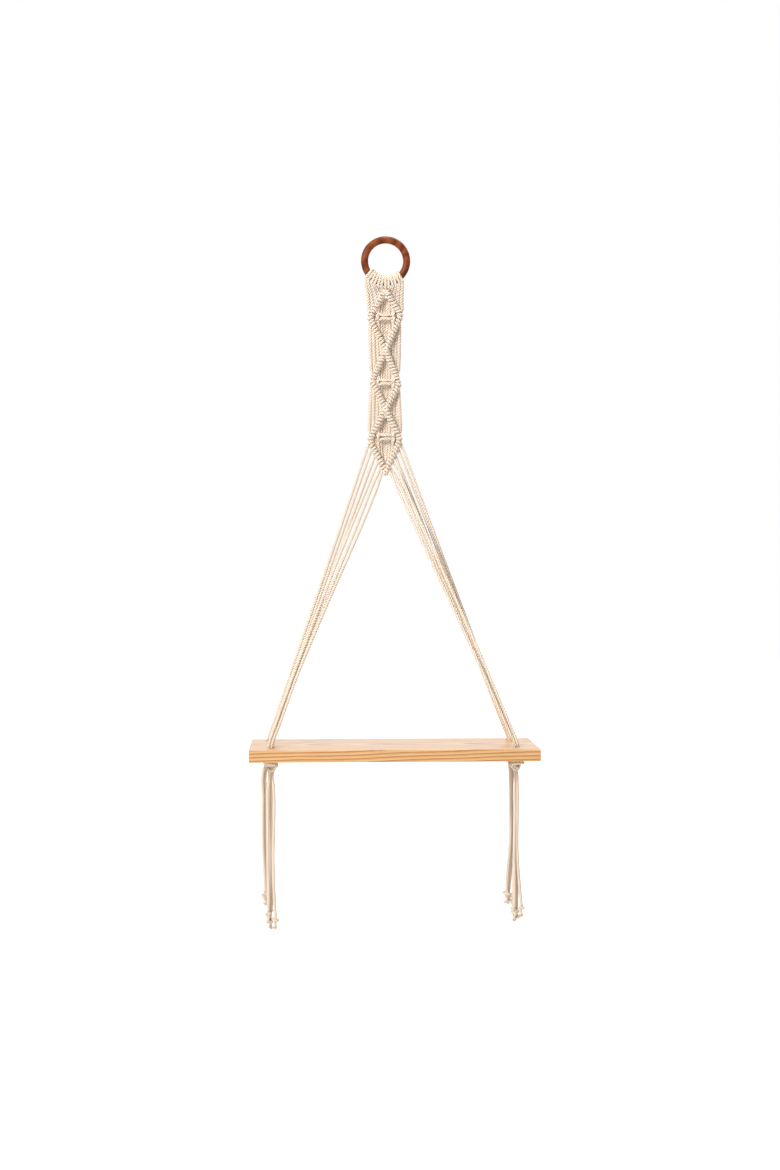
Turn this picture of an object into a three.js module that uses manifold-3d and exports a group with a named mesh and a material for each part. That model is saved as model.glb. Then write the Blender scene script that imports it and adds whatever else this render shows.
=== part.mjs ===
// Macrame wall shelf: a wooden ring, a knotted cotton panel, two legs of strands, a pine board and tails.
// Millimetres, +Z up, +X to the right, the wall at +Y. The origin is the inner top of the ring.
import * as THREE from 'three';
import { mergeVertices } from 'three/addons/utils/BufferGeometryUtils.js';
import Module from 'manifold-3d';

const wasm = await Module();
wasm.setup();

// Driving sizes
const ringOuterRadius = 31.4;
const ringRodRadius = 4.6;
const cordRadius = 1.9;
const cordPitch = 4;
const strandCount = 12;
const gap = 0.3;
const wallY = 9;

const boardLength = 355.6;
const boardDepth = 127;
const boardThickness = 15;
const boardCentreX = 6.8;
const boardTopZ = -632.2;
const boardEasing = 0.8;
const holeRadius = 5;

const ringPathRadius = ringOuterRadius - ringRodRadius;
const ringCentreZ = ringRodRadius - ringPathRadius;
const boardBottomZ = boardTopZ - boardThickness;
const boardFrontY = wallY - boardDepth;

// Heading: the twelve wraps sit on the lower arc of the ring, a little to the left of its bottom
const headingCentre = THREE.MathUtils.degToRad(-5.5);
const headingPitch = cordPitch * 1.025 / ringPathRadius;
const wrapRadius = ringRodRadius + 0.5 + cordRadius;

// Panel: the ends and corners of the three diamonds
const panelY = 0.4;
const barY = -1.2;
const barCrest = 4.5;
const barValley = 3.5;
const hitchesPerBar = 5;
const panelStrandRadius = 2.1;
const diamonds = [
  { top: -59, knot: -93.5, bottom: -135, leftX: -20, leftZ: -94, rightX: 20.5, rightZ: -91 },
  { top: -135, knot: -176, bottom: -210, leftX: -18.5, leftZ: -174, rightX: 18.5, rightZ: -179 },
  { top: -210, knot: -246, bottom: -293, leftX: -20, leftZ: -250, rightX: 20, rightZ: -250 },
];

// Square knot in the middle of each diamond: where its strands run, counted from the centre outwards
const knotStrandX = [1.9, 5.4, 8.6];
const squareKnot = [
  { lobe: 'front band', x: 0, y: -3.6, z: 0, rx: 8, ry: 2.6, rz: 3.4 },
  { lobe: 'left loop', x: -8.6, y: -1.8, z: -0.6, rx: 2.9, ry: 3.4, rz: 4.4 },
  { lobe: 'right loop', x: 8.6, y: -1.8, z: 0.6, rx: 2.9, ry: 3.4, rz: 4.4 },
];

// Drilled holes: how far each one lies from the board's middle and from its front edge
const holes = [
  { side: 'left', row: 'front', x: -151.5, inset: 30 },
  { side: 'left', row: 'back', x: -155, inset: 105 },
  { side: 'right', row: 'front', x: 151.5, inset: 30 },
  { side: 'right', row: 'back', x: 150.1, inset: 105 },
];

// Legs: how the three strands of a hole lie side by side in it, and how far up they stay upright
const strandsPerHole = 3;
const bundleOffset = 2.2;
const coreRadius = 2.2;
const straightRise = 2.4;
const leaderExit = { x: 2.4, y: -5.4, drop: 4 };
const panelTailLength = 8;
const legStops = [0.33, 0.66, 0.9];

// Tails: for each stopper knot its three strands, by where they leave it, bulge and end
const tails = {
  left_front: [
    { startX: -3.8, midX: -3.6, endX: -3.0, y: -2.5, endZ: -846 },
    { startX: 0.2, midX: 0.4, endX: -1.2, y: 2.5, endZ: -855 },
    { startX: 4.0, midX: 4.6, endX: 6.6, y: -2.0, endZ: -854 },
  ],
  left_back: [
    { startX: -4.6, midX: -9.4, endX: -9.2, y: -2.5, endZ: -838 },
    { startX: -0.6, midX: -5.2, endX: -4.4, y: 2.5, endZ: -840 },
    { startX: 3.4, midX: 1.6, endX: 2.2, y: -1.0, endZ: -846 },
  ],
  right_front: [
    { startX: -4.0, midX: -3.8, endX: -4.4, y: -2.5, endZ: -847 },
    { startX: 0.0, midX: 0.2, endX: 0.2, y: 2.5, endZ: -845 },
    { startX: 3.6, midX: 3.6, endX: 5.4, y: -1.5, endZ: -841 },
  ],
  right_back: [
    { startX: -3.6, midX: -0.6, endX: -7.6, y: -3.0, endZ: -840 },
    { startX: 0.4, midX: 2.6, endX: -2.2, y: 2.5, endZ: -839 },
    { startX: 4.2, midX: 6.4, endX: 6.0, y: -0.5, endZ: -846 },
  ],
};
const tailHalfWidth = 1.9;
const endKnotRadius = 3.1;
const endKnotHeight = 4.2;

// Stopper knot: a neck of the three strands with two slanted turns round it
const stopperNeckRadius = 5.2;
const stopperHeight = 20;
const stopperTurns = [
  { drop: 3.93, ringRadius: 5.6, tube: 3.0, tilt: 8, lean: 8 },
  { drop: 11, ringRadius: 3.9, tube: 2.9, tilt: -22, lean: -12 },
];

const cottonMaterial = new THREE.MeshStandardMaterial({ color: 0xeadfcd, roughness: 0.95, metalness: 0 });
const ringMaterial = new THREE.MeshStandardMaterial({ color: 0x8f4a2b, roughness: 0.35, metalness: 0 });
const pineMaterial = new THREE.MeshStandardMaterial({ color: 0xe7bf86, roughness: 0.6, metalness: 0 });

// A strand's route: a smooth curve that keeps a step on each of its named points
class StrandCurve extends THREE.CatmullRomCurve3 {
  constructor(points) {
    super(points, false, 'centripetal');
  }
  getSpacedPoints(steps) {
    return this.getPoints(steps);
  }
  getTangentAt(t) {
    return this.getTangent(t);
  }
}

// Small helpers for solids
function toSolid(geometry) {
  geometry.deleteAttribute('normal');
  geometry.deleteAttribute('uv');
  const merged = mergeVertices(geometry, 1e-4);
  return new wasm.Manifold(new wasm.Mesh({
    numProp: 3,
    vertProperties: new Float32Array(merged.attributes.position.array),
    triVerts: new Uint32Array(merged.index.array),
  }));
}

function fuse(solids) {
  return solids.reduce((sum, solid) => sum.add(solid));
}

function fromSolid(solid) {
  const mesh = solid.getMesh();
  const geometry = new THREE.BufferGeometry();
  geometry.setAttribute('position', new THREE.BufferAttribute(new Float32Array(mesh.vertProperties), 3));
  geometry.setIndex(new THREE.BufferAttribute(new Uint32Array(mesh.triVerts), 1));
  geometry.computeVertexNormals();
  return geometry;
}

function polygon(radius, sides) {
  const shape = new THREE.Shape();
  for (let side = 0; side < sides; side += 1) {
    const angle = 2 * Math.PI * (side + 0.5) / sides;
    const method = side === 0 ? 'moveTo' : 'lineTo';
    shape[method](radius * Math.cos(angle), radius * Math.sin(angle));
  }
  shape.closePath();
  return shape;
}

function strandTube(points, { radius = cordRadius, sides = 5, stepsPerSpan = 1 } = {}) {
  const curve = new StrandCurve(points);
  const steps = (points.length - 1) * stepsPerSpan;
  const section = polygon(radius, sides);
  return new THREE.ExtrudeGeometry(section, { steps, extrudePath: curve, bevelEnabled: false });
}

// A rod of half hitches along a curve: every second step of a plain tube is raised into a hitch
function hitchedRod(points, hitchCount) {
  const curve = new THREE.CatmullRomCurve3(points, false, 'centripetal');
  const steps = hitchCount * 2;
  const shape = polygon(barValley, 6);
  const geometry = new THREE.ExtrudeGeometry(shape, { steps, extrudePath: curve, bevelEnabled: false });
  const centres = curve.getSpacedPoints(steps);
  const position = geometry.attributes.position;
  const vertex = new THREE.Vector3();
  for (let index = 0; index < position.count; index += 1) {
    vertex.fromBufferAttribute(position, index);
    let nearest = 0;
    centres.forEach((centre, step) => {
      if (centre.distanceTo(vertex) < centres[nearest].distanceTo(vertex) - 1e-4) {
        nearest = step;
      }
    });
    if (nearest % 2 === 1) {
      const centre = centres[nearest];
      vertex.sub(centre).multiplyScalar(barCrest / barValley).add(centre);
      position.setXYZ(index, vertex.x, vertex.y, vertex.z);
    }
  }
  return geometry;
}

function blob({ x, y, z, rx, ry, rz }, around = 7, up = 5) {
  return new THREE.SphereGeometry(1, around, up).rotateX(Math.PI / 2).scale(rx, ry, rz).translate(x, y, z);
}

// Where a strand meets the diamonds' bars. Strand 0 is the outermost on its side, strand 4 the innermost,
// and share is how far out along the bar it is hitched, from 0 at the crossing to 1 at the corner.
const perSide = strandCount / 2 - 1;

function barPoint(diamond, side, share, half) {
  const cornerX = side < 0 ? diamond.leftX : diamond.rightX;
  const cornerZ = side < 0 ? diamond.leftZ : diamond.rightZ;
  const endZ = half === 'upper' ? diamond.top : diamond.bottom;
  return new THREE.Vector3(cornerX * share, 0, endZ + (cornerZ - endZ) * share);
}

function shareOf(strand) {
  return (perSide - strand - 0.5) / perSide;
}

// Points of one strand between the ring and the foot of the panel
function panelStrand(side, strand, headingPoint) {
  const share = shareOf(strand);
  const inward = perSide - 1 - strand;
  const points = [headingPoint];
  diamonds.forEach((diamond) => {
    const upper = barPoint(diamond, side, share, 'upper');
    const lower = barPoint(diamond, side, share, 'lower');
    points.push(new THREE.Vector3(upper.x, panelY, upper.z));
    if (inward < knotStrandX.length) {
      points.push(new THREE.Vector3(side * knotStrandX[inward], panelY, diamond.knot));
    }
    points.push(new THREE.Vector3(lower.x, panelY, lower.z));
  });
  return points;
}

// Ring
function ringGeometry() {
  const torus = new THREE.TorusGeometry(ringPathRadius, ringRodRadius, 10, 40);
  return torus.rotateX(Math.PI / 2).translate(0, 0, ringCentreZ);
}

// Board
function holeCentre(hole) {
  return new THREE.Vector3(boardCentreX + hole.x, boardFrontY + hole.inset, boardTopZ);
}

function boardGeometry() {
  const halfLength = boardLength / 2;
  const outline = new THREE.Shape([
    new THREE.Vector2(boardCentreX - halfLength, boardFrontY),
    new THREE.Vector2(boardCentreX + halfLength, boardFrontY),
    new THREE.Vector2(boardCentreX + halfLength, wallY),
    new THREE.Vector2(boardCentreX - halfLength, wallY),
  ]);
  holes.forEach((hole) => {
    const centre = holeCentre(hole);
    const round = new THREE.Path();
    round.absarc(centre.x, centre.y, holeRadius, 0, 2 * Math.PI, true);
    outline.holes.push(round);
  });
  const board = new THREE.ExtrudeGeometry(outline, {
    depth: boardThickness - 2 * boardEasing,
    curveSegments: 8,
    bevelEnabled: true,
    bevelThickness: boardEasing,
    bevelSize: boardEasing,
    bevelOffset: -boardEasing,
    bevelSegments: 1,
  });
  return board.translate(0, 0, boardBottomZ + boardEasing);
}

// Heading: each strand hooks over the ring from the back, and the two strands of a cord share the bar
// of their lark's head behind it
function wrapFrame(index) {
  const angle = headingCentre + (index - (strandCount - 1) / 2) * headingPitch;
  const outward = new THREE.Vector3(Math.sin(angle), 0, -Math.cos(angle));
  const centre = new THREE.Vector3(0, 0, ringCentreZ).addScaledVector(outward, ringPathRadius);
  return { outward, centre };
}

function wrapPoint(index, degrees, radius = wrapRadius) {
  const { outward, centre } = wrapFrame(index);
  const turn = THREE.MathUtils.degToRad(degrees);
  const point = centre.clone().addScaledVector(outward, radius * Math.cos(turn));
  point.y += radius * Math.sin(turn);
  return point;
}

function headingEnd(index) {
  return wrapPoint(index, 322, wrapRadius + 1.4);
}

function wrapTube(index) {
  const points = [58, 90, 122, 154, 186, 218, 250, 276].map((degrees) => wrapPoint(index, degrees));
  points.push(headingEnd(index));
  return strandTube(points);
}

function larksHeadBar(index) {
  const points = [wrapPoint(index, 50), wrapPoint(index + 1, 50)];
  const middle = points[0].clone().lerp(points[1], 0.5);
  const { outward } = wrapFrame(index + 0.5);
  middle.addScaledVector(outward, 1.2);
  return strandTube([points[0], middle, points[1]]);
}

// Panel: wraps, strands, hitched rods and square knots, fused into one knotted piece
function strandIndex(side, strand) {
  return side < 0 ? strand : strandCount - 1 - strand;
}

// A leg strand leaves the lowest bar and runs straight to its place in the mouth of its hole. The panel
// keeps the first stretch of it, and the rest belongs to the leg. Strand 5 is the leader.
function legRoute(side, strand) {
  const lastDiamond = diamonds[diamonds.length - 1];
  const exit = strand < perSide ? barPoint(lastDiamond, side, shareOf(strand), 'lower')
    : new THREE.Vector3(side * leaderExit.x, 0, lastDiamond.bottom - leaderExit.drop);
  exit.y = strand < perSide ? panelY : leaderExit.y;
  const row = strand < strandsPerHole ? 'back' : 'front';
  const hole = holes.find((each) => each.side === (side < 0 ? 'left' : 'right') && each.row === row);
  const place = strand % strandsPerHole;
  const turn = THREE.MathUtils.degToRad(90 + side * (place - 1) * 120);
  const mouth = holeCentre(hole);
  mouth.x += bundleOffset * Math.cos(turn);
  mouth.y -= bundleOffset * Math.sin(turn);
  mouth.z += straightRise;
  const direction = mouth.clone().sub(exit).normalize();
  return { exit, mouth, direction, row };
}

function alongLeg(route, distance) {
  return route.exit.clone().addScaledVector(route.direction, distance);
}

function panelTails(side, strand) {
  const route = legRoute(side, strand);
  return [alongLeg(route, panelTailLength / 2), alongLeg(route, panelTailLength)];
}

function panelGeometry() {
  const solids = [];
  for (let index = 0; index < strandCount; index += 1) {
    solids.push(toSolid(wrapTube(index)));
    if (index % 2 === 0) {
      solids.push(toSolid(larksHeadBar(index)));
    }
  }
  [-1, 1].forEach((side) => {
    for (let strand = 0; strand < perSide; strand += 1) {
      const start = headingEnd(strandIndex(side, strand));
      const points = [...panelStrand(side, strand, start), ...panelTails(side, strand)];
      solids.push(toSolid(strandTube(points, { radius: panelStrandRadius, sides: 4 })));
    }
    const leaderTop = headingEnd(strandIndex(side, perSide));
    const apex = new THREE.Vector3(0, barY, diamonds[0].top);
    solids.push(toSolid(strandTube([leaderTop, apex])));
    const foot = new THREE.Vector3(0, barY, diamonds[diamonds.length - 1].bottom + 2);
    solids.push(toSolid(strandTube([foot, ...panelTails(side, perSide)])));
  });
  diamonds.forEach((diamond) => {
    [-1, 1].forEach((side) => {
      const route = [
        new THREE.Vector3(0, barY, diamond.top),
        barPoint(diamond, side, 0.5, 'upper'),
        barPoint(diamond, side, 0.96, 'upper'),
        barPoint(diamond, side, 0.96, 'lower'),
        barPoint(diamond, side, 0.5, 'lower'),
        new THREE.Vector3(0, barY, diamond.bottom),
      ];
      route.forEach((point) => { point.y = barY; });
      solids.push(toSolid(hitchedRod(route, hitchesPerBar * 2)));
    });
    solids.push(toSolid(blob({ x: 0, y: barY, z: diamond.bottom, rx: 5, ry: 4.8, rz: 4.6 })));
    squareKnot.forEach((lobe) => {
      solids.push(toSolid(blob({ ...lobe, z: diamond.knot + lobe.z })));
    });
  });
  return fromSolid(fuse(solids));
}

// Legs: three strands from the panel to one hole. The inner three of each side go to the front hole and
// the outer three to the back one, and a core joins them where they fill the hole.
function legGeometry(hole) {
  const side = hole.side === 'left' ? -1 : 1;
  const firstStrand = hole.row === 'back' ? 0 : strandsPerHole;
  const solids = [];
  for (let place = 0; place < strandsPerHole; place += 1) {
    const route = legRoute(side, firstStrand + place);
    const start = alongLeg(route, panelTailLength + gap);
    const points = [start];
    legStops.forEach((stop) => { points.push(start.clone().lerp(route.mouth, stop)); });
    const inside = route.mouth.clone();
    inside.z = boardBottomZ;
    points.push(route.mouth, inside);
    solids.push(toSolid(strandTube(points)));
  }
  const centre = holeCentre(hole);
  const coreLength = boardThickness - 2;
  const core = new THREE.CylinderGeometry(coreRadius, coreRadius, coreLength, 8);
  core.rotateX(Math.PI / 2).translate(centre.x, centre.y, boardTopZ - boardThickness / 2);
  solids.push(toSolid(core));
  return fromSolid(fuse(solids));
}

// Tassels: a stopper knot under the board with three tails that end in small knots
function stopperSolids(centre) {
  const neckProfile = [
    new THREE.Vector2(0, 0),
    new THREE.Vector2(stopperNeckRadius, 0),
    new THREE.Vector2(stopperNeckRadius * 1.1, -stopperHeight * 0.4),
    new THREE.Vector2(stopperNeckRadius, -stopperHeight),
    new THREE.Vector2(0, -stopperHeight),
  ].reverse();
  const neck = new THREE.LatheGeometry(neckProfile, 8).rotateX(Math.PI / 2);
  const solids = [toSolid(neck.translate(centre.x, centre.y, centre.z))];
  stopperTurns.forEach((turn) => {
    const torus = new THREE.TorusGeometry(turn.ringRadius, turn.tube, 6, 10);
    torus.rotateX(THREE.MathUtils.degToRad(turn.lean)).rotateY(THREE.MathUtils.degToRad(turn.tilt));
    solids.push(toSolid(torus.translate(centre.x, centre.y, centre.z - turn.drop)));
  });
  return solids;
}

function tasselGeometry(hole) {
  const centre = holeCentre(hole);
  centre.z = boardBottomZ - gap;
  const solids = stopperSolids(centre);
  const top = centre.z - stopperHeight + 3;
  tails[`${hole.side}_${hole.row}`].forEach((tail) => {
    const knotZ = tail.endZ + endKnotHeight;
    const drop = top - knotZ;
    const points = [
      new THREE.Vector3(centre.x + tail.startX * 0.5, centre.y + tail.y * 0.5, top),
      new THREE.Vector3(centre.x + tail.startX, centre.y + tail.y, top - drop * 0.08),
      new THREE.Vector3(centre.x + tail.midX, centre.y + tail.y, top - drop * 0.28),
      new THREE.Vector3(centre.x + tail.midX, centre.y + tail.y, top - drop * 0.6),
      new THREE.Vector3(centre.x + tail.endX, centre.y + tail.y, knotZ),
    ];
    solids.push(toSolid(strandTube(points, { radius: tailHalfWidth, sides: 4 })));
    const knot = { x: centre.x + tail.endX, y: centre.y + tail.y, z: knotZ };
    solids.push(toSolid(blob({ ...knot, rx: endKnotRadius, ry: endKnotRadius, rz: endKnotHeight }, 6, 4)));
  });
  return fromSolid(fuse(solids));
}

// The shelf
const shelf = new THREE.Group();

function addPiece(name, geometry, material) {
  const mesh = new THREE.Mesh(geometry, material.clone());
  mesh.name = name;
  shelf.add(mesh);
}

addPiece('ring', ringGeometry(), ringMaterial);
addPiece('macrame_panel', panelGeometry(), cottonMaterial);
addPiece('board', boardGeometry(), pineMaterial);
holes.forEach((hole) => {
  addPiece(`${hole.side}_${hole.row}_cords`, legGeometry(hole), cottonMaterial);
  addPiece(`${hole.side}_${hole.row}_tassel`, tasselGeometry(hole), cottonMaterial);
});

export default shelf;
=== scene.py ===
import math
import random

import bpy
import numpy as np
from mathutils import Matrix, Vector


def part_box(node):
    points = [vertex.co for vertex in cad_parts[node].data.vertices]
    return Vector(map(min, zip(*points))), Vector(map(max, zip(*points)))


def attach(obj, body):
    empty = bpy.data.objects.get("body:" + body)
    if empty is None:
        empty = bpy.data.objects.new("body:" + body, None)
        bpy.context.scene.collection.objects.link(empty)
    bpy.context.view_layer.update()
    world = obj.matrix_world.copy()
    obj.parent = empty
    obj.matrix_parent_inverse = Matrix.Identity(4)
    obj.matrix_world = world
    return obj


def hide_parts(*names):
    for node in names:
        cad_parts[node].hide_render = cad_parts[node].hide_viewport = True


MM = 0.001
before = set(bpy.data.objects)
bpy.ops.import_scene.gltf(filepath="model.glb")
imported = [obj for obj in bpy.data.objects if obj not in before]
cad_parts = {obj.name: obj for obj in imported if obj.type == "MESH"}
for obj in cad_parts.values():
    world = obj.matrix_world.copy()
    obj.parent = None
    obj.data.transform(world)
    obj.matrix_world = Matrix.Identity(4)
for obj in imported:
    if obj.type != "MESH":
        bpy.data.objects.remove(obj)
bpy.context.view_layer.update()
random.seed(11)

# Sizes read from the frame, in millimetres
ring_low, ring_high = (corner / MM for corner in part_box("ring"))
board_low, board_high = (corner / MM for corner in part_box("board"))
RING_OUTER = (ring_high.x - ring_low.x) / 2
# Radius of the ring's rod, and of the circle that its middle line makes
RING_ROD = 4.6
RING_PATH = RING_OUTER - RING_ROD
RING_CENTRE_Z = (ring_low.z + ring_high.z) / 2
BOARD_CENTRE_X = (board_low.x + board_high.x) / 2

# Cord: three plies laid up into one about 4 mm thick
PLIES = 3
LAY_LENGTH = 10.8
PROFILE_SIDES = 12
GROOVE_DEPTH = 0.24
# Radii: smaller where a knot pulls the cord tight, and larger where it lies slack and spreads
LOOSE = 2.1
SLACK = 2.6
TIGHT = 1.86
LEADING = 1.6
# Points of a drawn cord lie this far apart
STEP = 0.9
# Given points closer than this count as one
SAME_PLACE = 0.05

# Heading: twelve strands hooked over the lower arc of the ring
STRANDS = 12
# Knotting strands on each side, beside that side's leading cord
PER_SIDE = STRANDS // 2 - 1
# Where the middle of the heading lies on the ring, and how far apart its strands are, as angles
HEADING_CENTRE = math.radians(-5.0)
HEADING_PITCH = 3.94 / RING_PATH
# The hooks lie 0.2 mm off the ring
WRAP_CORD = 2.02
WRAP_RADIUS = RING_ROD + 0.2 + WRAP_CORD
# The wraps hang nearly upright, so their inner ends lie further round the ring than their outer ends
WRAP_SLANT = 0.062
# Strands of a folded cord lean together at the ring's outside by this angle, and apart at its inside
WRAP_PAIR = 0.012

# Panel: three diamonds of double half hitches round the two leading cords
BAR_Y = -1.2
CORNER_SHARE = 0.96
RAIL_STEP = 0.5
HITCH_RADIUS = 2.75
HITCH_TURNS = 2
TURN_STEPS = 10
# How far back each strand lies between two diamonds and above the first, from the outermost in. The right
# side hangs further back, in the shade of the bars
RUN_DEPTH = {-1: [2.2, 1.4, 1.8, 1.4, 1.4], 1: [4.2, 5.5, 5.0, 4.0, 2.6]}
HEADING_DEPTH = {-1: [1.4, 1.4, 1.4, 1.4, 1.4], 1: [2.2, 3.6, 3.2, 2.4, 1.4]}
# Heights of each diamond's top, square knot and bottom, and the places of its left and right corners
DIAMONDS = [
    {"top": -59, "knot": -93.5, "bottom": -135, "left": (-20, -94), "right": (18.8, -91)},
    {"top": -135, "knot": -176, "bottom": -210, "left": (-17, -174), "right": (16.5, -179)},
    {"top": -210, "knot": -246, "bottom": -290, "left": (-20, -250), "right": (17.8, -250)},
]
# The leading cords cross at each diamond's bottom, and first this far below the first diamond's top
APEX_DROP = 2.4
# How far a crossing reaches sideways and up and down, and the shares of it where its turns start and end
CROSSING_X = 2.6
CROSSING_Z = 4.6
CROSSING_SHARES = (0.16, 0.84)
# Square knots: on each side two strands run through the middle, the third ties and the fourth passes beside
KNOT_STRANDS = 3
CORE_X = [1.9, 5.6]
CORE_Y = [5.0, 3.2]
CORE_CORD = 2.3
TYING_CORD = 1.95
KNOT_STRAY = 0.35
FILL_X = 12.9
FILL_Y = 2.2
# How far each strand bows outward between two diamonds and above the first, from the outermost in, by the
# share of its way
BOWS = {
    0.14: [1.5, 1.0, 0.5, 0.2, 0],
    0.42: [2.8, 2.0, 1.2, 0.5, 0],
    0.78: [4.0, 3.1, 2.1, 1.0, 0.3],
    0.95: [3.8, 3.0, 2.1, 1.2, 0.4],
}
HEADING_BOWS = {0.55: [1.5, 1.1, 0.6, 0.2, 0], 0.93: [2.4, 1.9, 1.4, 0.9, 0.5]}

# Board: holes by their distance from the board's middle and from its front edge
HOLE_RADIUS = 5
HOLES = {
    "left_front": (-151.5, 30),
    "left_back": (-155, 105),
    "right_front": (151.5, 30),
    "right_back": (150.1, 105),
}
# Three strands fill a hole, each this far from the middle line of their bundle
PER_HOLE = 3
BUNDLE_OFFSET = 2.15
# The bundles lie against one side of their holes: the front ones to the left, the back ones to the right
BUNDLE_SHIFT = {"front": -0.75, "back": 0.75}
# How far the slack strands of the legs lie outward, by side and strand, at shares of their way down
LEAN_SHARES = (0.06, 0.25, 0.5, 0.75, 0.93)
LEANS = {
    (-1, 3): [0.6, 2.0, 3.2, 3.2, 1.3],
    (-1, 4): [1.6, 1.4, 2.4, 2.6, 0.6],
    (-1, 5): [-2.0, -1.4, 1.6, 2.8, 0.6],
    (1, 3): [1.3, 1.9, 2.9, 2.2, 1.0],
    (1, 4): [3.0, 2.6, 2.0, 1.2, 0.3],
    (1, 5): [0, 0.3, 1.4, 1.1, 0.2],
}
LEG_CORD = LOOSE - 0.1
BORE_CORD = LOOSE + 0.05
# Strands turn upright this far above their hole, and end this far down in it
MOUTH_RISE = 3.0
BORE_LENGTH = 13.5

# Stopper knots, tails and end knots
STOPPER_CORD = 1.72
STOPPER_OFFSET = 1.75
STOPPER_TWIST = 0.045
END_CORD = 1.85
YARNS = 40
GOLDEN_TURN = 0.382
# A tail comes this close to its end knot before it turns in
KNOT_GAP = 3
# The knot stands this far above the height of the tail's end
KNOT_FOOT = 1.6
# Stops on a tail's way down: the share of the way, the place and how far it may stray
TAIL_STOPS = [(0.08, "start_x", 0), (0.27, "mid_x", 0.6), (0.6, "mid_x", 0.8), (1, "end_x", 0)]
# Places from the middle of the hole, the height of the tail's end and the size of its end knot
TAILS = {
    "left_front": [
        {"start_x": -3.6, "mid_x": -3.4, "end_x": -3.6, "y": -2.5, "end_z": -844, "knot": 3.2},
        {"start_x": 0.2, "mid_x": 0.4, "end_x": -1.0, "y": 2.5, "end_z": -852, "knot": 3.3},
        {"start_x": 3.4, "mid_x": 3.4, "end_x": 5.2, "y": -2.0, "end_z": -851, "knot": 3.5},
    ],
    "left_back": [
        {"start_x": -8.5, "mid_x": -8.3, "end_x": -5.8, "y": -2.5, "end_z": -836, "knot": 4.2},
        {"start_x": -5.2, "mid_x": -5.0, "end_x": -2.6, "y": 1.8, "end_z": -838, "knot": 3.2},
        {"start_x": -0.4, "mid_x": 0.0, "end_x": 2.2, "y": -1.0, "end_z": -845, "knot": 3.2},
    ],
    "right_front": [
        {"start_x": -2.9, "mid_x": -2.9, "end_x": -3.4, "y": -2.0, "end_z": -844, "knot": 3.4},
        {"start_x": -0.8, "mid_x": -0.8, "end_x": 0.6, "y": 2.4, "end_z": -842, "knot": 3.2},
        {"start_x": 0.8, "mid_x": 0.8, "end_x": 5.8, "y": -1.4, "end_z": -839, "knot": 3.2},
    ],
    "right_back": [
        {"start_x": 1.2, "mid_x": 1.6, "end_x": -3.0, "y": -3.0, "end_z": -837, "knot": 4.3},
        {"start_x": 4.6, "mid_x": 4.6, "end_x": 0.6, "y": 2.5, "end_z": -838, "knot": 3.2},
        {"start_x": 7.6, "mid_x": 7.2, "end_x": 5.4, "y": -0.5, "end_z": -845, "knot": 3.2},
    ],
}


# Camera at the photograph's place: a little left of the middle, looking slightly right and down
def add_camera():
    place = Vector((-97.2, -2282.8, -382.0)) * MM
    turn = (math.pi / 2 - 0.023, 0, -0.045)
    bpy.ops.object.camera_add(location=place, rotation=turn)
    camera = bpy.context.object
    camera.data.sensor_width = 36
    camera.data.lens = 55.03
    camera.data.clip_end = 50
    bpy.context.scene.camera = camera


# Lines. A point is x, y, z and the cord's radius there, all in millimetres
def sized(points, radius):
    return [(*point[:3], radius) for point in points]


def smooth_line(points, step=STEP, samples=10):
    """A smooth line through listed points, given back as points one step apart."""
    kept = [np.array(points[0], float)]
    for point in points[1:]:
        point = np.array(point, float)
        if np.linalg.norm(point - kept[-1]) > SAME_PLACE:
            kept.append(point)
    ends = [2 * kept[0] - kept[1]] + kept + [2 * kept[-1] - kept[-2]]
    dense = [kept[0]]
    # Times grow with the root of the distance, so the line doesn't overshoot between close points
    for a, b, c, d in zip(ends, ends[1:], ends[2:], ends[3:]):
        t0 = 0.0
        t1 = t0 + np.linalg.norm(b - a) ** 0.5
        t2 = t1 + np.linalg.norm(c - b) ** 0.5
        t3 = t2 + np.linalg.norm(d - c) ** 0.5
        for t in np.linspace(t1, t2, samples + 1)[1:]:
            ab = (t1 - t) / (t1 - t0) * a + (t - t0) / (t1 - t0) * b
            bc = (t2 - t) / (t2 - t1) * b + (t - t1) / (t2 - t1) * c
            cd = (t3 - t) / (t3 - t2) * c + (t - t2) / (t3 - t2) * d
            abc = (t2 - t) / (t2 - t0) * ab + (t - t0) / (t2 - t0) * bc
            bcd = (t3 - t) / (t3 - t1) * bc + (t - t1) / (t3 - t1) * cd
            dense.append((t2 - t) / (t2 - t1) * abc + (t - t1) / (t2 - t1) * bcd)
    return even_points(np.array(dense), step)


def lengths_along(line):
    return np.concatenate([[0], np.cumsum(np.linalg.norm(np.diff(line[:, :3], axis=0), axis=1))])


def even_points(dense, step):
    along = lengths_along(dense)
    stops = np.linspace(0, along[-1], max(int(along[-1] / step), 2) + 1)
    return np.stack([np.interp(stops, along, column) for column in dense.T], axis=1)


def frames_along(line):
    """Two cross directions at each point, carried along without twisting."""
    tangents = np.gradient(line[:, :3], axis=0)
    tangents /= np.linalg.norm(tangents, axis=1)[:, None]
    first = np.cross(tangents[0], [0.0, 1.0, 0.0])
    across = [first / np.linalg.norm(first)]
    for tangent in tangents[1:]:
        carried = across[-1] - tangent * np.dot(across[-1], tangent)
        across.append(carried / np.linalg.norm(carried))
    across = np.array(across)
    return across, np.cross(tangents, across)


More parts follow.
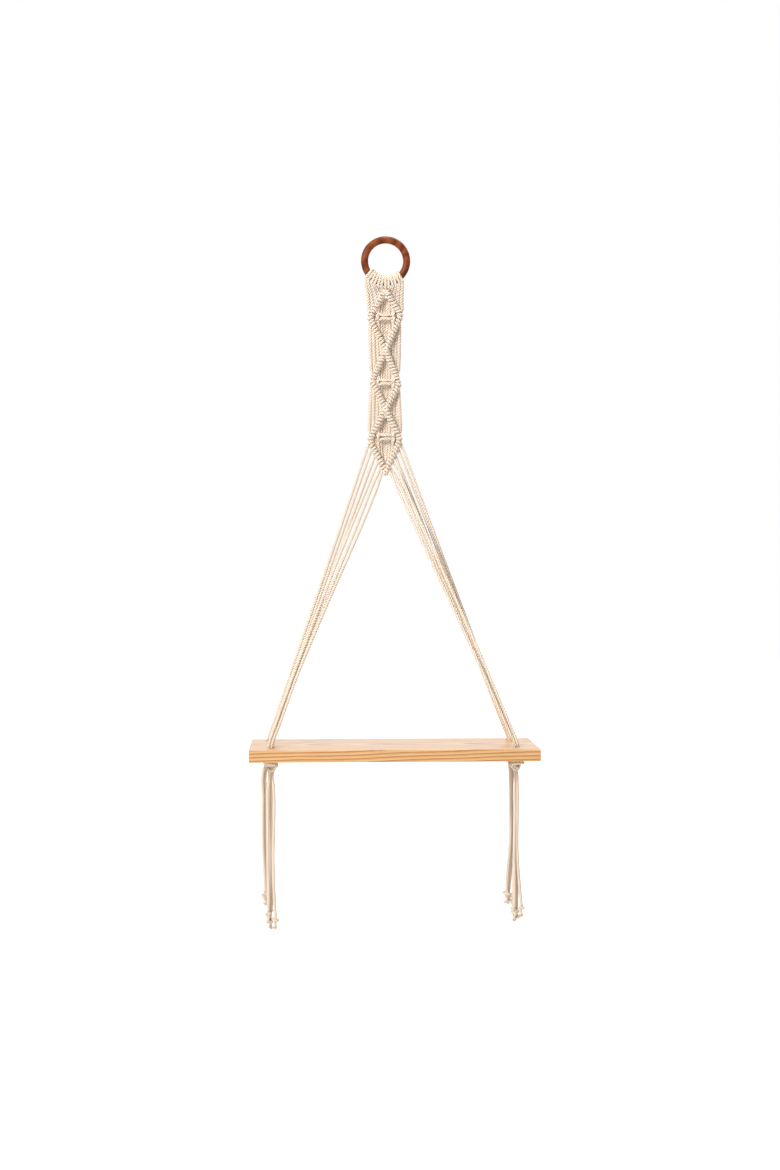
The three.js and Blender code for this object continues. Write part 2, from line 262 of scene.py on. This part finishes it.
# Cords: a three-ply profile swept along each line, turning once in each lay length
def add_profile(name, sides, depth):
    curve = bpy.data.curves.new(name, "CURVE")
    curve.dimensions = "2D"
    spline = curve.splines.new("POLY")
    spline.points.add(sides - 1)
    for index in range(sides):
        # Each half wave of the cosine is one ply
        angle = 2 * math.pi * index / sides
        lobe = abs(math.cos(PLIES / 2 * angle)) ** 0.8
        radius = MM * (1 - depth + depth * lobe)
        spline.points[index].co = (radius * math.cos(angle), radius * math.sin(angle), 0, 1)
    spline.use_cyclic_u = True
    profile = bpy.data.objects.new(name, curve)
    bpy.context.scene.collection.objects.link(profile)
    return profile


def sweep(name, cords, profile):
    curve = bpy.data.curves.new(name, "CURVE")
    curve.dimensions = "3D"
    curve.resolution_u = 1
    for line in cords:
        spline = curve.splines.new("POLY")
        spline.points.add(len(line) - 1)
        flat = np.ones((len(line), 4))
        flat[:, :3] = line[:, :3] * MM
        spline.points.foreach_set("co", flat.ravel())
        spline.points.foreach_set("radius", line[:, 3])
        turn = random.uniform(0, 2 * math.pi)
        spline.points.foreach_set("tilt", turn + lengths_along(line) * (2 * math.pi / LAY_LENGTH))
    curve.bevel_mode = "OBJECT"
    curve.bevel_object = profile
    curve.use_fill_caps = True
    cord_object = bpy.data.objects.new(name, curve)
    bpy.context.scene.collection.objects.link(cord_object)
    select_only(cord_object)
    bpy.ops.object.convert(target="MESH")
    piece = bpy.context.object
    finish_mesh(piece, math.radians(50))
    return piece


def select_only(*objects):
    bpy.ops.object.select_all(action="DESELECT")
    for each in objects:
        each.select_set(True)
    bpy.context.view_layer.objects.active = objects[0]


def finish_mesh(piece, angle):
    select_only(piece)
    bpy.ops.object.mode_set(mode="EDIT")
    bpy.ops.mesh.select_all(action="SELECT")
    bpy.ops.mesh.normals_make_consistent(inside=False)
    bpy.ops.object.mode_set(mode="OBJECT")
    bpy.ops.object.shade_smooth_by_angle(angle=angle)


def dress(piece, material, slot, *nodes):
    piece.data.materials.clear()
    piece.data.materials.append(material)
    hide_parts(*nodes)
    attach(piece, "root")


# Heading
def wrap_point(index, degrees, radius=WRAP_RADIUS):
    turn = math.radians(degrees)
    angle = (index - (STRANDS - 1) / 2) * HEADING_PITCH * (1 - WRAP_SLANT * math.cos(turn))
    pair = 1 if index % 2 == 0 else -1
    angle += HEADING_CENTRE + pair * WRAP_PAIR * math.cos(turn)
    outward = np.array([math.sin(angle), 0.0, -math.cos(angle)])
    centre = np.array([0.0, 0.0, RING_CENTRE_Z]) + outward * RING_PATH
    return centre + outward * radius * math.cos(turn) + np.array([0.0, radius * math.sin(turn), 0.0])


def wrap_points(index):
    """A strand's hook over the ring, from its half of the bar at the back to the front below the ring. The
    degrees run round the ring's rod, from its outside over the back, the inside and the front."""
    partner = index + 1 if index % 2 == 0 else index - 1
    middle = (wrap_point(index, 40) + wrap_point(partner, 40)) / 2
    bar = [middle, middle * 0.45 + wrap_point(index, 44) * 0.55]
    arc = [wrap_point(index, degrees) for degrees in range(66, 290, 20)]
    return sized(bar + arc + [wrap_point(index, 318, WRAP_RADIUS + 1.6)], WRAP_CORD)


# Rails: the line of a leading cord along one side of a diamond, with the place at any share of its length
def rail_of(diamond, side):
    """The line rounds the diamond's corner, so it stays a little short of it."""
    corner_x, corner_z = diamond["left"] if side < 0 else diamond["right"]

    def at(share, end_z):
        return (corner_x * share, BAR_Y, end_z + (corner_z - end_z) * share)

    points = [
        (0, BAR_Y, diamond["top"]),
        at(0.5, diamond["top"]),
        at(CORNER_SHARE, diamond["top"]),
        at(CORNER_SHARE, diamond["bottom"]),
        at(0.5, diamond["bottom"]),
        (0, BAR_Y, diamond["bottom"]),
    ]
    return smooth_line(points, step=RAIL_STEP)


def rail_at(rail, share):
    place = min(max(share, 0), 1) * (len(rail) - 1)
    low = min(int(place), len(rail) - 2)
    point = rail[low] + (rail[low + 1] - rail[low]) * (place - low)
    # The direction is taken over a few points, which evens it out
    tangent = rail[min(low + 3, len(rail) - 1)] - rail[max(low - 2, 0)]
    return point, tangent / np.linalg.norm(tangent)


def hitch(rail, start, end, outward):
    """Turns of a cord round a rail from share start to share end, from behind it to behind it. Outward is
    +1 where the cord leaves on the rail's +X side, or -1."""
    points = []
    steps = HITCH_TURNS * TURN_STEPS
    back = np.array([0.0, 1.0, 0.0])
    for index in range(steps + 1):
        centre, tangent = rail_at(rail, start + (end - start) * index / steps)
        below = np.array([-tangent[2], 0.0, tangent[0]])
        below *= outward * (1 if below[0] >= 0 else -1) / np.linalg.norm(below)
        angle = 2 * math.pi * HITCH_TURNS * index / steps
        points.append(centre + HITCH_RADIUS * (math.cos(angle) * back + math.sin(angle) * below))
    return sized(points, TIGHT)


def square_knot_points(side, inward, knot_z):
    """The way of a strand through the square knot: four strands run straight through its middle, and
    the next one on each side ties round them."""
    if inward < len(CORE_X):
        x = CORE_X[inward]
        depth = CORE_Y[inward]
        way = [(side * x, depth, 11), (side * x * 0.85, 0.9, 0), (side * x, depth, -11)]
        if inward == 0:
            way = [(side * 1.7, depth, 22)] + way
    elif side < 0:
        way = [
            (-8.9, 0, 12), (-9.4, -0.6, 6), (-7.4, -3.6, 3.0), (-3.5, -5.1, 2.1), (3.5, -5.1, 2.2),
            (7.8, -3.5, 1.8), (9.8, -0.6, 0), (7.8, -3.5, -1.8), (3.5, -5.1, -2.2), (-3.5, -5.1, -2.1),
            (-7.4, -3.6, -3.0), (-9.4, -0.6, -6), (-8.9, 0, -12),
        ]
    else:
        way = [
            (8.9, 0, 12), (9.5, -2.4, 6.5), (10.1, -5.4, 2.6), (8.4, 0.4, 0.6), (4, 3.9, 1.2),
            (-4, 3.9, 1.2), (-8.9, 1.6, 1.8), (-10.2, -3.2, 2.6), (-9.9, -5.8, 0), (-10.2, -3.2, -2.6),
            (-8.9, 1.6, -1.8), (-4, 3.9, -1.2), (4, 3.9, -1.2), (8.4, 0.4, -0.8), (10.1, -5.2, -2.8),
            (9.5, -2.4, -6.5), (8.9, 0, -12),
        ]
    stray = [random.uniform(-KNOT_STRAY, KNOT_STRAY) for _ in range(3 * len(way))]
    points = []
    for (px, py, pz), a, b, c in zip(way, stray[::3], stray[1::3], stray[2::3]):
        points.append((px + a, py + b, knot_z + pz + c))
    if inward == 1:
        points.insert(0, (side * 5.0, depth, knot_z + 19))
    return sized(points, CORE_CORD if inward < len(CORE_X) else TYING_CORD)


RAILS = {(row, side): rail_of(diamond, side) for row, diamond in enumerate(DIAMONDS) for side in (-1, 1)}
# Every strand of a side ties once on a rail's upper half and once on its lower half
HITCHES = 2 * PER_SIDE
# Left free at each end of a hitch, as a share of the rail
HITCH_MARGIN = 0.004


def hitch_shares(strand):
    """Where a strand ties on the upper and on the lower half of a rail, as start and end shares."""
    inward = PER_SIDE - 1 - strand
    upper = inward / HITCHES
    lower = (HITCHES - 1 - inward) / HITCHES
    width = 1 / HITCHES
    above = (upper + HITCH_MARGIN, upper + width - HITCH_MARGIN)
    below = (lower + width - HITCH_MARGIN, lower + HITCH_MARGIN)
    return above, below


def knotting_strand(side, strand):
    """One strand from the ring to its last hitch. Strand 0 is the outermost on its side."""
    index = strand if side < 0 else STRANDS - 1 - strand
    inward = PER_SIDE - 1 - strand
    upper, lower = hitch_shares(strand)
    points = wrap_points(index)
    for row, diamond in enumerate(DIAMONDS):
        rail = RAILS[row, side]
        turns = hitch(rail, *upper, -side)
        last = np.array(points[-1])
        depth = (RUN_DEPTH if row > 0 else HEADING_DEPTH)[side][strand]
        for share, bows in (BOWS if row > 0 else HEADING_BOWS).items():
            place = last * (1 - share) + np.array(turns[0]) * share
            points.append((place[0] + side * bows[strand], depth, place[2], SLACK))
        points += turns
        if inward < KNOT_STRANDS:
            points += square_knot_points(side, inward, diamond["knot"])
        elif inward == KNOT_STRANDS:
            points += [(side * FILL_X, FILL_Y, diamond["knot"] + rise, SLACK) for rise in (4, -4)]
        points += hitch(rail, *lower, side)
    return points


def crossing_hitch(z, side):
    """Turns of one leading cord round the other where they meet."""
    high = (side * CROSSING_X, BAR_Y, z + CROSSING_Z)
    low = (-side * CROSSING_X, BAR_Y, z - CROSSING_Z)
    return hitch(even_points(np.array([high, low]), RAIL_STEP), *CROSSING_SHARES, -side)


def leading_cord(first_side):
    """The leading cord that starts on that side. It changes sides at each crossing."""
    index = PER_SIDE if first_side < 0 else PER_SIDE + 1
    points = wrap_points(index)
    side = first_side
    if first_side > 0:
        points += crossing_hitch(DIAMONDS[0]["top"] - APEX_DROP, -side)
    for row, diamond in enumerate(DIAMONDS):
        # A few of the rail's points are enough for a smooth line
        points += sized(RAILS[row, side][8:-8:16], LEADING)
        if first_side > 0:
            points += crossing_hitch(diamond["bottom"], side)
        side = -side
    return points


# Legs
def hole_centre(name):
    x, inset = HOLES[name]
    return np.array([BOARD_CENTRE_X + x, board_low.y + inset, board_high.z])


def leg_line(side, strand):
    """A strand from its last hitch to its hole. Strand 5 is the leading cord, and the inner three of each
    side go to the front hole."""
    if strand < PER_SIDE:
        start = np.array(hitch(RAILS[len(DIAMONDS) - 1, side], *hitch_shares(strand)[1], side)[-1][:3])
        # It leaves a little outside its hitch and in front of it
        start += np.array([side * 0.8, -0.4, 0])
    else:
        # The leading cord leaves in front of the last crossing, to its side
        start = np.array([side * 4.4, -2.2, DIAMONDS[-1]["bottom"] + 1.5])
    row = "back" if strand < PER_HOLE else "front"
    # The middle strand lies nearest the viewer in a back hole, and behind its neighbours in a front hole
    facing = 1 if row == "back" else -1
    turn = math.radians(facing * (90 + side * (strand % PER_HOLE - 1) * 360 / PER_HOLE))
    mouth = hole_centre(("left_" if side < 0 else "right_") + row)
    mouth += BUNDLE_OFFSET * np.array([math.cos(turn), -math.sin(turn), 0])
    mouth[0] += BUNDLE_SHIFT[row]
    points = [start]
    above = mouth + np.array([0, 0, MOUTH_RISE])
    run = above - start
    sideways = np.cross(run / np.linalg.norm(run), [0, 1, 0])
    for share, lean in zip(LEAN_SHARES, LEANS.get((side, strand), [0] * len(LEAN_SHARES))):
        sway = random.uniform(-0.5, 0.5) * math.sin(math.pi * share) + side * lean
        points.append(start + run * share + sideways * sway + np.array([0, random.uniform(-0.4, 0.4), 0]))
    bore = [above, mouth, mouth - np.array([0, 0, BORE_LENGTH])]
    return smooth_line(sized(points, LEG_CORD) + sized(bore, BORE_CORD))


# Knots: the stopper is an overhand knot of three strands, tied close under the board
STOPPER = [
    (0, 0, 6), (-0.6, 0.6, -1), (-1.8, 1.0, -6), (-2.4, 0.2, -9.4), (-1.2, -2.2, -11.4), (1.8, -3.6, -11.0),
    (4.0, -4.2, -8.4), (3.4, -5.8, -5.6), (-1.5, -6.8, -4.4), (-6.0, -3.6, -4.2), (-6.4, 2.4, -4.2),
    (-2.0, 6.4, -4.4), (4.0, 5.8, -5.0), (7.0, 1.2, -5.8), (4.4, -0.6, -8.6), (2.0, 0.2, -12.0),
    (0.8, 0.6, -16.5), (0.2, 0.2, -22),
]
# The end knot is an overhand knot too, in shares of its size
END_KNOT = [
    (-0.30, 0.00, 0.30), (-0.34, 0.02, -0.30), (-0.36, 0.02, -1.00), (-0.20, -0.20, -1.62),
    (0.30, -0.55, -1.66), (0.72, -0.50, -1.40), (0.35, -0.88, -1.20), (-0.35, -0.88, -1.05),
    (-0.88, -0.35, -0.92), (-0.88, 0.35, -0.82), (-0.35, 0.88, -0.74), (0.35, 0.88, -0.64),
    (0.86, 0.38, -0.52), (0.72, -0.12, -0.30), (0.34, -0.10, -0.52), (0.24, -0.04, -1.10),
    (0.16, 0.02, -1.80), (0.04, 0.02, -2.40),
]


def placed_knot(way, centre, size, turn, mirror=1):
    cos, sin = math.cos(turn), math.sin(turn)
    return [
        centre + size * np.array([mirror * (x * cos - y * sin), x * sin + y * cos, z])
        for x, y, z in way
    ]


def bundle(line, count, offset, twist):
    """Lines of several strands that run side by side along one line."""
    across, beside = frames_along(line)
    strands = []
    for index in range(count):
        angle = (2 * math.pi * index / count + np.arange(len(line)) * twist)[:, None]
        strands.append(line[:, :3] + offset * (across * np.cos(angle) + beside * np.sin(angle)))
    return strands


def tassel_cords(name):
    mirror = -1 if name.startswith("right") else 1
    centre = hole_centre(name)
    centre[2] = board_low.z
    turn = 0.15 if name.endswith("front") else 2.6
    # The front knots are seen with a longer neck. The back ones spread into their tails sooner
    way = STOPPER if name.endswith("front") else STOPPER[:-2]
    core = smooth_line(sized(placed_knot(way, centre, 1, turn, mirror), TIGHT))
    knot_strands = bundle(core, PER_HOLE, STOPPER_OFFSET, STOPPER_TWIST)
    order = sorted(range(PER_HOLE), key=lambda each: knot_strands[each][-1][0])
    cords = []
    tufts = []
    for tail, strand in zip(TAILS[name], order):
        path = sized(knot_strands[strand][::3], STOPPER_CORD)
        leave_z = path[-1][2]
        knot_z = tail["end_z"] - END_KNOT[-1][2] * tail["knot"] + KNOT_FOOT
        drop = leave_z - knot_z
        y = centre[1] + tail["y"]
        for share, column, stray in TAIL_STOPS:
            stop_x = centre[0] + tail[column] + random.uniform(-stray, stray)
            stop_y = y + random.uniform(-stray, stray)
            stop_z = leave_z - drop * share + (KNOT_GAP if share == 1 else 0)
            path.append((stop_x, stop_y, stop_z, LOOSE))
        knot_centre = np.array([centre[0] + tail["end_x"], y, knot_z])
        knot = placed_knot(END_KNOT, knot_centre, tail["knot"], random.uniform(0, 2 * math.pi))
        path += sized(knot[1:], END_CORD)
        # The cord is cut about 2 mm below its knot
        end = knot[-1] + np.array([random.uniform(-0.6, 0.6), random.uniform(-0.6, 0.6), -2.0])
        path.append((*end, LOOSE))
        cords.append(smooth_line(path))
        tufts += tuft_lines(end, tail["knot"])
    return cords, tufts


def tuft_lines(end, width):
    """Loose yarns at a cord's cut end, spread by the golden angle."""
    lines = []
    for index in range(YARNS):
        angle = 2 * math.pi * (index + random.random()) * GOLDEN_TURN
        out = np.array([math.cos(angle), math.sin(angle), 0.0])
        spread = random.uniform(0.1, 1.0) * width
        length = random.uniform(3.0, 6.4)
        root = end + out * random.uniform(0.2, 1.4) + np.array([0, 0, 1.0])
        middle = root + out * spread * 0.5 + np.array([0, 0, -length * 0.5])
        tip = root + out * spread + np.array([0, 0, -length])
        lines.append(smooth_line([(*root, 0.55), (*middle, 0.5), (*tip, 0.24)], step=1.2, samples=4))
    return lines


# Ring
def add_ring():
    place = Vector((0, 0, RING_CENTRE_Z)) * MM
    bpy.ops.mesh.primitive_torus_add(
        major_radius=RING_PATH * MM, minor_radius=RING_ROD * MM, major_segments=120, minor_segments=32,
        location=place, rotation=(math.pi / 2, 0, 0),
    )
    ring = bpy.context.object
    ring.name = "turned_ring"
    bpy.ops.object.transform_apply(location=True, rotation=True, scale=True)
    bpy.ops.object.shade_smooth()
    return ring


# Board
def add_board():
    size = (board_high - board_low) * MM
    middle = (board_high + board_low) / 2 * MM
    bpy.ops.mesh.primitive_cube_add(size=1, location=middle)
    board = bpy.context.object
    board.name = "pine_board"
    board.scale = size
    bpy.ops.object.transform_apply(location=True, rotation=True, scale=True)
    for name in HOLES:
        centre = hole_centre(name) * MM
        bpy.ops.mesh.primitive_cylinder_add(
            vertices=48, radius=HOLE_RADIUS * MM, depth=size.z * 2,
            location=(centre[0], centre[1], middle.z),
        )
        drill = bpy.context.object
        select_only(board)
        cut = board.modifiers.new("drill", "BOOLEAN")
        cut.operation = "DIFFERENCE"
        cut.solver = "EXACT"
        cut.object = drill
        bpy.ops.object.modifier_apply(modifier=cut.name)
        bpy.data.objects.remove(drill)
    select_only(board)
    edge = board.modifiers.new("eased edges", "BEVEL")
    edge.width = 0.8 * MM
    edge.segments = 3
    edge.limit_method = "ANGLE"
    edge.angle_limit = math.radians(40)
    bpy.ops.object.modifier_apply(modifier=edge.name)
    finish_mesh(board, math.radians(10))
    return board


# Materials
def hex_colour(code):
    """An sRGB hex value as a linear colour."""
    parts = [int(code[index:index + 2], 16) / 255 for index in (1, 3, 5)]
    linear = [part / 12.92 if part <= 0.04045 else ((part + 0.055) / 1.055) ** 2.4 for part in parts]
    return (*linear, 1)


def new_material(name):
    material = bpy.data.materials.new(name)
    material.use_nodes = True
    tree = material.node_tree
    shader = tree.nodes["Principled BSDF"]
    return material, tree, shader


def add_node(tree, kind, inputs=None, **settings):
    node = tree.nodes.new(kind)
    for name, value in settings.items():
        setattr(node, name, value)
    for socket, value in (inputs or {}).items():
        if isinstance(value, bpy.types.NodeSocket):
            tree.links.new(value, node.inputs[socket])
        else:
            node.inputs[socket].default_value = value
    return node


# Sockets of a mix node that mixes colours
MIX_FIRST = 6
MIX_SECOND = 7
MIX_RESULT = 2


def set_stops(ramp_node, stops):
    ramp = ramp_node.color_ramp
    while len(ramp.elements) < len(stops):
        ramp.elements.new(1)
    for element, (place, colour) in zip(ramp.elements, stops):
        element.position = place
        element.color = hex_colour(colour)


def cotton_material():
    """Undyed three-ply cotton: matt and a little fuzzy, with painted shade that makes it darker and warmer
    between the plies.
    """
    material, tree, shader = new_material("undyed_twisted_cotton")
    place = add_node(tree, "ShaderNodeTexCoord")
    split = add_node(tree, "ShaderNodeSeparateXYZ", {0: place.outputs["UV"]})
    plies = add_node(
        tree, "ShaderNodeMath", {0: split.outputs["Y"], 1: PLIES * 2 * math.pi}, operation="MULTIPLY"
    )
    wave = add_node(tree, "ShaderNodeMath", {0: plies.outputs[0]}, operation="COSINE")
    # The crest is 0 between two plies and 1 on top of a ply
    crest = add_node(tree, "ShaderNodeMapRange", {0: wave.outputs[0], 1: -1.0, 2: 0.6})
    # Slubs of about 2 mm, as the spun yarn varies
    slub = add_node(
        tree, "ShaderNodeTexNoise",
        {"Vector": place.outputs["Object"], "Scale": 500, "Detail": 4, "Roughness": 0.6},
    )
    tone = add_node(tree, "ShaderNodeValToRGB", {0: slub.outputs[0]})
    set_stops(tone, [(0.3, "#e6d8c7"), (0.64, "#fbf5ec")])
    # Painted shade: the colour turns darker and warmer in the grooves between the plies, where shade falls,
    # and stays unchanged on their crests
    painted_groove_shade = add_node(tree, "ShaderNodeValToRGB", {0: crest.outputs[0]})
    set_stops(painted_groove_shade, [(0.0, "#d2baa1"), (0.45, "#f3e9dd"), (1.0, "#ffffff")])
    colour = add_node(
        tree, "ShaderNodeMix", {0: 1.0, MIX_FIRST: tone.outputs[0], MIX_SECOND: painted_groove_shade.outputs[0]},
        data_type="RGBA", blend_type="MULTIPLY",
    )
    tree.links.new(colour.outputs[MIX_RESULT], shader.inputs["Base Color"])
    # Fuzz of about 0.4 mm, coarser than real cotton fibre so that it shows
    fuzz = add_node(
        tree, "ShaderNodeTexNoise", {"Vector": place.outputs["Object"], "Scale": 2600, "Detail": 3}
    )
    bump = add_node(
        tree, "ShaderNodeBump", {"Strength": 0.5, "Distance": 0.2 * MM, "Height": fuzz.outputs[0]}
    )
    tree.links.new(bump.outputs[0], shader.inputs["Normal"])
    shader.inputs["Roughness"].default_value = 0.92
    shader.inputs["Sheen Weight"].default_value = 0.2
    shader.inputs["Sheen Roughness"].default_value = 0.5
    return material


def wood_material(name, spacing, pith, tilt, wander, patch, stops, streak, gloss):
    """Sawn wood with its fibres along X: growth rings round the pith, seen as lines and arcs on the faces,
    and fine streaks of fibre. Spacing and wander are in millimetres, pith and patch in metres."""
    material, tree, shader = new_material(name)
    place = add_node(tree, "ShaderNodeTexCoord").outputs["Object"]
    log = add_node(tree, "ShaderNodeMapping", {"Vector": place, "Location": pith, "Rotation": tilt})
    flat = add_node(tree, "ShaderNodeVectorMath", {0: log.outputs[0], 1: (0, 1, 1)}, operation="MULTIPLY")
    distance = add_node(tree, "ShaderNodeVectorMath", {0: flat.outputs[0]}, operation="LENGTH")
    # The growth rings wander in patches that are drawn out along the fibres
    slow = add_node(tree, "ShaderNodeMapping", {"Vector": place, "Scale": (0.35, 1, 1)})
    drift = add_node(
        tree, "ShaderNodeTexNoise", {"Vector": slow.outputs[0], "Scale": 1 / patch, "Detail": 2}
    )
    moved = add_node(
        tree, "ShaderNodeMath", {0: drift.outputs[0], 1: wander * MM, 2: distance.outputs["Value"]},
        operation="MULTIPLY_ADD",
    )
    years = add_node(
        tree, "ShaderNodeMath", {0: moved.outputs[0], 1: 1 / (spacing * MM)}, operation="MULTIPLY"
    )
    season = add_node(tree, "ShaderNodeMath", {0: years.outputs[0]}, operation="FRACT")
    grown = add_node(tree, "ShaderNodeValToRGB", {0: season.outputs[0]})
    set_stops(grown, stops)
    # Streaks of about 0.7 mm across the fibres and 24 mm along them
    along = add_node(tree, "ShaderNodeMapping", {"Vector": place, "Scale": (0.03, 1, 1)})
    fibres = add_node(
        tree, "ShaderNodeTexNoise",
        {"Vector": along.outputs[0], "Scale": 1400, "Detail": 5, "Roughness": 0.65},
    )
    streaks = add_node(tree, "ShaderNodeValToRGB", {0: fibres.outputs[0]})
    set_stops(streaks, [(0.3, streak), (0.6, "#ffffff")])
    colour = add_node(
        tree, "ShaderNodeMix", {0: 0.8, MIX_FIRST: grown.outputs[0], MIX_SECOND: streaks.outputs[0]},
        data_type="RGBA", blend_type="MULTIPLY",
    )
    tree.links.new(colour.outputs[MIX_RESULT], shader.inputs["Base Color"])
    bump = add_node(
        tree, "ShaderNodeBump", {"Strength": 0.25, "Distance": 0.1 * MM, "Height": fibres.outputs[0]}
    )
    tree.links.new(bump.outputs[0], shader.inputs["Normal"])
    shader.inputs["Roughness"].default_value = gloss
    return material, shader


def pine_material():
    """Varnished pine with a soft shine, sawn at a slight angle to the pith, so that its growth rings show
    as long arcs."""
    material, shader = wood_material(
        "varnished_pine", spacing=3.6, pith=(0, 0.055, 0.718), tilt=(0, 0.034, 0), wander=7.0, patch=0.07,
        stops=[(0.0, "#e0b985"), (0.45, "#d8ab73"), (0.72, "#bd8446"), (0.92, "#a96d32"), (1.0, "#e0b985")],
        streak="#ead3b4", gloss=0.34,
    )
    shader.inputs["Coat Weight"].default_value = 0.7
    shader.inputs["Coat Roughness"].default_value = 0.28
    return material


def ring_material():
    """Oiled reddish hardwood with a low shine and broad, uneven growth rings."""
    material, shader = wood_material(
        "oiled_red_hardwood", spacing=12.0, pith=(0, 0.02, 0.06), tilt=(0, 0.9, 0),
        wander=40.0, patch=0.022, stops=[(0.0, "#965028"), (0.5, "#602b13"), (1.0, "#965028")],
        streak="#b08871", gloss=0.46,
    )
    shader.inputs["Specular IOR Level"].default_value = 0.16
    return material


# Stage: a pale floor and soft studio light
def add_floor():
    bpy.ops.mesh.primitive_plane_add(size=14, location=(0, 0, -1.0))
    floor = bpy.context.object
    floor.name = "studio_floor"
    material, tree, shader = new_material("matt_white_floor")
    shader.inputs["Base Color"].default_value = hex_colour("#fbfbfb")
    shader.inputs["Roughness"].default_value = 0.9
    # The floor is seen as white, without lighting the shelf from below as much
    shader.inputs["Emission Color"].default_value = hex_colour("#ffffff")
    rays = add_node(tree, "ShaderNodeLightPath")
    glow = add_node(tree, "ShaderNodeMapRange", {0: rays.outputs["Is Camera Ray"], 3: 0.12, 4: 0.85})
    tree.links.new(glow.outputs[0], shader.inputs["Emission Strength"])
    floor.data.materials.append(material)


def add_world():
    """The world is seen as white, and lights the shelf more softly than that."""
    world = bpy.data.worlds.new("white_studio")
    bpy.context.scene.world = world
    world.use_nodes = True
    tree = world.node_tree
    background = tree.nodes["Background"]
    rays = add_node(tree, "ShaderNodeLightPath")
    diffuse = rays.outputs["Is Diffuse Ray"]
    strength = add_node(tree, "ShaderNodeMapRange", {0: diffuse, 3: 1.0, 4: 0.36})
    # Its light comes back from a warm room, so the shadows are warmer than the lit sides
    warmth = add_node(
        tree, "ShaderNodeMix", {0: diffuse, MIX_FIRST: (1, 1, 1, 1), MIX_SECOND: hex_colour("#fff4e8")},
        data_type="RGBA",
    )
    tree.links.new(warmth.outputs[MIX_RESULT], background.inputs["Color"])
    tree.links.new(strength.outputs[0], background.inputs["Strength"])


def add_lights():
    lights = [
        {"name": "key", "place": (-1.5, -2.2, 1.2), "size": 0.6, "power": 78},
        {"name": "top", "place": (0.2, 0.1, 1.4), "size": 0.9, "power": 24},
    ]
    for light in lights:
        bpy.ops.object.light_add(type="AREA", location=light["place"])
        lamp = bpy.context.object
        lamp.name = light["name"] + "_light"
        lamp.data.size = light["size"]
        lamp.data.energy = light["power"]
        aim = Vector((0, 0, -0.4)) - Vector(light["place"])
        lamp.rotation_euler = aim.to_track_quat("-Z", "Y").to_euler()
    bpy.context.scene.view_settings.view_transform = "Standard"


# The shelf
def add_panel_side(side, word):
    cords = [smooth_line(knotting_strand(side, strand)) for strand in range(PER_SIDE)]
    cords.append(smooth_line(leading_cord(side)))
    dress(sweep(f"{word}_panel_cords", cords, cord_profile), cotton, "cotton_cord", "macrame_panel")


def add_leg(side, word, row):
    outermost = 0 if row == "back" else PER_HOLE
    cords = [leg_line(side, strand) for strand in range(outermost, outermost + PER_HOLE)]
    dress(sweep(f"{word}_{row}_leg", cords, cord_profile), cotton, "cotton_cord", f"{word}_{row}_cords")


def add_tassel(word, row):
    tails, tufts = tassel_cords(f"{word}_{row}")
    node = f"{word}_{row}_tassel"
    dress(sweep(f"{word}_{row}_knot_and_tails", tails, cord_profile), cotton, "cotton_cord", node)
    dress(sweep(f"{word}_{row}_yarn_ends", tufts, yarn_profile), cotton, "cotton_cord", node)


add_camera()
cord_profile = add_profile("three_ply_profile", PROFILE_SIDES, GROOVE_DEPTH)
yarn_profile = add_profile("yarn_profile", 4, 0)
cotton = cotton_material()
for side, word in ((-1, "left"), (1, "right")):
    add_panel_side(side, word)
    for row in ("back", "front"):
        add_leg(side, word, row)
        add_tassel(word, row)
bpy.data.objects.remove(cord_profile)
bpy.data.objects.remove(yarn_profile)
pine = pine_material()
dress(add_board(), pine, "pine", "board")
ring_wood = ring_material()
dress(add_ring(), ring_wood, "ring_wood", "ring")
add_floor()
add_world()
add_lights()
